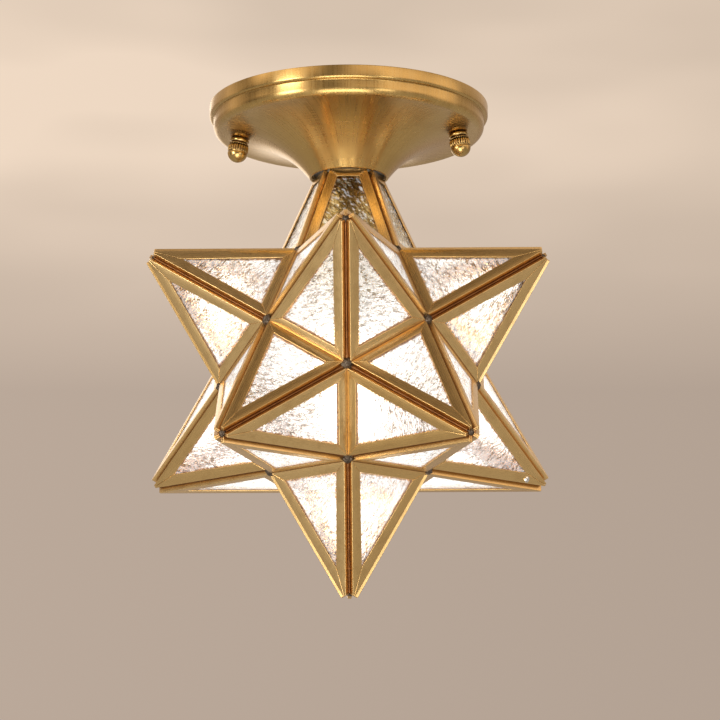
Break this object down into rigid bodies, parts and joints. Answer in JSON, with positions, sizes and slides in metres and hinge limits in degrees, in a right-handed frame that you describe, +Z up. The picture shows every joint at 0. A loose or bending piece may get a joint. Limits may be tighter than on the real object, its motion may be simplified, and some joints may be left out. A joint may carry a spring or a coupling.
{
  "type": "semi-flush ceiling light",
  "caption": "Semi-flush ceiling light: a spun brass canopy over a star of hammered glass panels in brass channel, with a hinged panel as its door.",
  "frame": {"origin": "middle of the mounting strap's top face, in the ceiling plane", "axes": "+Z up into the ceiling; X along the line of the two cap nuts and the strap's slots; the picture looks along +Y"},
  "size_m": [0.202, 0.207, 0.2511],
  "materials": {
    "spun_brass": "satin spun brass with fine turning lines",
    "nut_brass": "knurled bright brass",
    "frame_brass": "satin brass channel, slightly aged",
    "hinge_brass": "satin brass",
    "stem_brass": "threaded brass tube",
    "contact_brass": "plain brass",
    "zinc_steel": "zinc-plated steel",
    "screw_steel": "bright plated steel",
    "clear_glass": "clear hammered glass",
    "solder": "dark soldered seam",
    "holder_plastic": "moulded cream plastic",
    "bulb_white": "moulded white plastic",
    "bulb_opal": "opal diffuser",
    "bulb_metal": "plain aluminium",
    "insulator_black": "black insulator",
    "board_white": "white coated board"
  },
  "bodies": {
    "root": {"canopy": "spun_brass", "flare_plate": "zinc_steel", "mounting_strap": "zinc_steel", "stud_left": "zinc_steel", "stud_right": "zinc_steel", "stud_lock_nuts": "zinc_steel", "ground_screw": "nut_brass", "stem": "stem_brass", "stem_washer": "zinc_steel", "stem_lock_nut": "zinc_steel", "neck_plate": "zinc_steel", "stem_bottom_nut": "zinc_steel", "lampholder_cap": "holder_plastic", "lampholder_body": "holder_plastic", "lampholder_shell": "contact_brass", "lampholder_contact": "contact_brass", "frame_neck": "frame_brass", "frame_upper_1": "frame_brass", "frame_upper_2": "frame_brass", "frame_upper_3": "frame_brass", "frame_upper_4": "frame_brass", "frame_upper_5": "frame_brass", "frame_lower_1": "frame_brass", "frame_lower_2": "frame_brass", "frame_lower_3": "frame_brass", "frame_lower_4": "frame_brass", "frame_lower_5": "frame_brass", "frame_bottom": "frame_brass", "glass_neck": "clear_glass", "glass_upper_1": "clear_glass", "glass_upper_2": "clear_glass", "glass_upper_3": "clear_glass", "glass_upper_4": "clear_glass", "glass_upper_5": "clear_glass", "glass_lower_1": "clear_glass", "glass_lower_2": "clear_glass", "glass_lower_3": "clear_glass", "glass_lower_4": "clear_glass", "glass_lower_5": "clear_glass", "glass_bottom": "clear_glass", "fixed_knuckles": "hinge_brass", "hinge_pin": "zinc_steel", "door_catch_block": "frame_brass", "solder_ridges": "solder", "solder_valleys": "solder", "solder_tips": "solder"},
    "door": {"door_frame": "frame_brass", "door_glass": "clear_glass", "door_knuckle": "hinge_brass"},
    "door_screw": {"door_screw": "screw_steel"},
    "cap_nut_left": {"cap_nut_left": "nut_brass"},
    "cap_nut_right": {"cap_nut_right": "nut_brass"},
    "bulb": {"bulb_cap": "bulb_metal", "bulb_insulator": "insulator_black", "bulb_contact": "bulb_metal", "bulb_collar": "bulb_white", "bulb_dome": "bulb_opal", "bulb_led_board": "board_white"}
  },
  "joints": [
    {"name": "door_hinge", "type": "hinge", "parent": "root", "child": "door", "pos_m": [0.05945, -0.01482, -0.16355], "axis": [-0.5101, 0.1272, -0.8507], "range_deg": [0, 100]},
    {"name": "door_screw_turn", "type": "hinge", "parent": "door", "child": "door_screw", "pos_m": [0.08349, 0.02922, -0.18559], "axis": [0.5749, -0.6852, -0.4472], "continuous": true},
    {"name": "cap_nut_left_turn", "type": "hinge", "parent": "root", "child": "cap_nut_left", "pos_m": [-0.05607, 0, -0.02124], "axis": [0.1688, 0, 0.9856], "continuous": true},
    {"name": "cap_nut_right_turn", "type": "hinge", "parent": "root", "child": "cap_nut_right", "pos_m": [0.05607, 0, -0.02124], "axis": [-0.1688, 0, 0.9856], "continuous": true},
    {"name": "bulb_turn", "type": "hinge", "parent": "root", "child": "bulb", "pos_m": [0, 0, -0.12], "axis": [0, 0, 1], "continuous": true}
  ]
}
